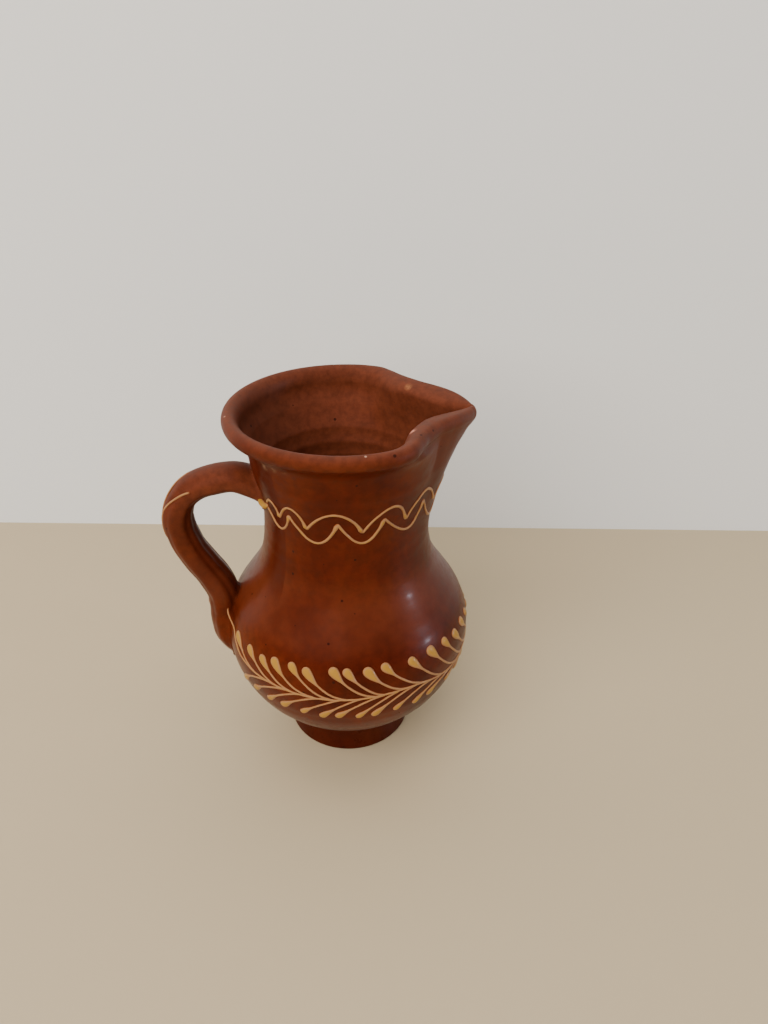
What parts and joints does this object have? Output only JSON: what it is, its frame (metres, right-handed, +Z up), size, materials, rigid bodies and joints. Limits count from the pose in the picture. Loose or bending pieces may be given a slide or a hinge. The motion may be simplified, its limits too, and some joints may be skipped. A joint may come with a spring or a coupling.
{
  "type": "ceramic pitcher",
  "caption": "Small wheel-thrown earthenware pitcher with a pinched spout, a pulled oval handle, a red-brown gloss glaze and trailed cream slip round the neck and belly.",
  "frame": {"origin": "centre of the flat foot where the pitcher stands, on the pot's throwing axis", "axes": "+Z up along the throwing axis, +X from the axis toward the spout, the handle on the -X side turned 3 degrees toward +Y, and -Y the broad side with the handle to its left"},
  "size_m": [0.1203, 0.1016, 0.15],
  "materials": {
    "red_glaze": "gloss",
    "cream_slip": "gloss"
  },
  "bodies": {
    "root": {"pot_foot_and_belly": "red_glaze", "pot_neck_and_spout": "red_glaze", "handle": "red_glaze", "neck_line_upper": "cream_slip", "neck_line_lower": "cream_slip", "neck_start_blob": "cream_slip", "garland_stem": "cream_slip", "garland_leaves_upper": "cream_slip", "garland_leaves_lower": "cream_slip", "handle_slip_cross_a": "cream_slip", "handle_slip_cross_b": "cream_slip"}
  },
  "joints": []
}
